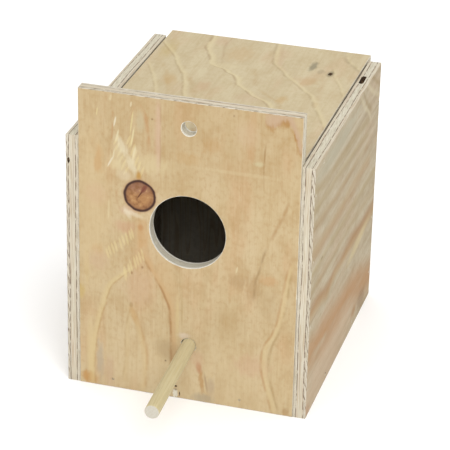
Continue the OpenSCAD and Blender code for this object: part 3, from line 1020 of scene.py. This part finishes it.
def front_holes():
    """The entrance, the hanging hole, and the perch's hole, which is torn at its left."""
    record = frame["record"]
    low, high = next(o for o in record["physics"]["openings"] if o["name"] == "entrance")["box_m"]
    door = Vector(((low[X] + high[X]) / 2 / MM, (low[Z] + high[Z]) / 2 / MM))
    cad = [Vector((v.co.x, v.co.z)) / MM for v in frame["nodes"]["front_panel"].data.vertices]
    beside = (high[X] - low[X]) / MM
    door_radius = max((c - door).length for c in cad if (c - door).length < beside)
    hang = next(m for m in record["mounts"] if m["name"] == "hanging_hole")
    nail = hang["pos_m"][X] / MM, hang["pos_m"][Z] / MM
    face = FRONT_BOARD.face * MM
    foot = PERCH_MIDDLE + PERCH_AXIS * ((face - PERCH_MIDDLE.y) / PERCH_AXIS.y)
    lean = Vector((PERCH_AXIS.x, PERCH_AXIS.z)) / PERCH_AXIS.y
    return [bore(door, door_radius, 144),
            bore(nail, hang["dims"]["r_mm"], 48),
            bore((foot.x / MM, foot.z / MM), PERCH_RADIUS / MM + PERCH_ROOM_MM, 48, lean,
                 torn_mm=0.5, torn_at=155)]


def along_cut(board, across_share, along_share, depth_share):
    """A place on a board by its shares across, along and through it, in millimetres."""
    spot = [board.low[board.across], board.low[board.grain]]
    spot[0] += (board.high[board.across] - spot[0]) * across_share
    spot[1] += (board.high[board.grain] - spot[1]) * along_share
    return board.point(*spot, board.thick * depth_share) / MM


make_board(
    FRONT_BOARD, 1, (FRONT_FACE, INNER_PINE), front_holes(),
    head_holes(FRONT_BOARD) + [
        gouge(along_cut(FRONT_BOARD, 0.4525, 0.017, 0), (1.9, 0.7, 3.4), 3, CHIP),
        # A pit over a brad's head near the bottom, painted dark for the shade in the head's recess.
        gouge(along_cut(FRONT_BOARD, 0.4565, 0.041, 0), (0.8, 0.6, 0.7), 4),
        gouge(along_cut(FRONT_BOARD, 0.474, 0.016, 0), (0.4, 0.5, 1.6), 5),
        gouge(along_cut(FRONT_BOARD, 1, 0.417, 0), (0.6, 0.5, 2.4), 6, CHIP)])
make_board(LEFT_BOARD, 2, (SIDE_FACE, INNER_PINE), (),
           head_holes(LEFT_BOARD) + [
               gouge(along_cut(LEFT_BOARD, 0.9, 0, 0.22), (0.8, 1.6, 1.9), 7)])
make_board(RIGHT_BOARD, 3, (SIDE_FACE, INNER_PINE), (),
           head_holes(RIGHT_BOARD) + [
               gouge(along_cut(RIGHT_BOARD, 1, 0.812, 0.61), (1.7, 6.6, 3.4), 8, PIT, 0.12, 0.4),
               gouge(along_cut(RIGHT_BOARD, 0.85, 1, 0.1), (1.4, 1.6, 2.6), 9),
               # A pit torn by the head of a floor brad, painted dark for the shade in the head's recess.
               gouge(along_cut(RIGHT_BOARD, 0.0285, 0.288, 0), (0.7, 1.2, 0.85), 11)])
make_board(BACK_BOARD, 4, (BACK_PINE, INNER_PINE), (), head_holes(BACK_BOARD))
make_board(FLOOR_BOARD, 5, (BACK_PINE, INNER_PINE))
make_board(LID_BOARD, 6, (LID_FACE, INNER_PINE), (), [
    gouge(along_cut(LID_BOARD, 0.872, 0.768, 0), (1.3, 2.6, 1.0), 10)])

for name in NAIL_NODES:
    mesh = frame["nodes"][name].data
    mesh.materials.clear()
    mesh.materials.append(NAIL_STEEL)


# ---------------------------------------------------------------- stage, light and camera

def stage_floor():
    """A plain white floor far wider than the view."""
    half = 4.0
    mesh = bpy.data.meshes.new("paper_floor")
    mesh.from_pydata([(-half, -half, 0), (half, -half, 0), (half, half, 0), (-half, half, 0)], [],
                     [(0, 1, 2, 3)])
    s = Surface("white_paper_floor")
    paper = s.add("BsdfPrincipled", {"Base Color": linear("#f8f8f8"), "Roughness": 0.9})
    s.add("OutputMaterial", {"Surface": paper})
    mesh.materials.append(s.material)
    floor = bpy.data.objects.new("paper_floor", mesh)
    bpy.context.scene.collection.objects.link(floor)


def direction(azimuth, elevation):
    """The way towards a place seen at that azimuth, from the front, and that elevation."""
    a, e = math.radians(azimuth), math.radians(elevation)
    return Vector((math.sin(a) * math.cos(e), -math.cos(a) * math.cos(e), math.sin(e)))


def soft_box(name, azimuth, elevation, distance, size, power, aim):
    """A square soft light aimed at a point."""
    back = direction(azimuth, elevation)
    light = bpy.data.lights.new(name, "AREA")
    light.size, light.energy = size, power
    lamp = bpy.data.objects.new(name, light)
    lamp.location = aim + back * distance
    lamp.rotation_euler = back.to_track_quat("Z", "Y").to_euler()
    bpy.context.scene.collection.objects.link(lamp)


def studio_world(strength):
    """An even white tent round the box."""
    world = bpy.data.worlds.new("white_tent")
    world.use_nodes = True
    tent = world.node_tree.nodes["Background"].inputs
    tent["Color"].default_value = (1, 1, 1, 1)
    tent["Strength"].default_value = strength
    bpy.context.scene.world = world


def place_camera():
    """A long lens from in front, a little to the right and well above."""
    azimuth, elevation, roll = 15.79, 26.47, math.radians(1.32)
    distance, lens = 1.4148, 177.9
    aim = Vector((0.02478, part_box("left_side")[0].y, 0.13312))
    back = direction(azimuth, elevation)
    level = Vector((0, 0, 1)).cross(back).normalized()
    up = back.cross(level)
    right = level * math.cos(roll) + up * math.sin(roll)
    turn = Matrix((right, back.cross(right), back)).transposed().to_4x4()
    camera = bpy.data.cameras.new("camera")
    camera.lens, camera.sensor_width = lens, 36.0
    holder = bpy.data.objects.new("camera", camera)
    holder.matrix_world = Matrix.Translation(aim + back * distance) @ turn
    bpy.context.scene.collection.objects.link(holder)
    bpy.context.scene.camera = holder


stage_floor()
studio_world(1.12)
soft_box("key_light", azimuth=27, elevation=42, distance=1.6, size=0.9, power=11.5,
         aim=Vector((0, 0, 0.1)))
place_camera()
bpy.context.scene.view_settings.view_transform = "Standard"
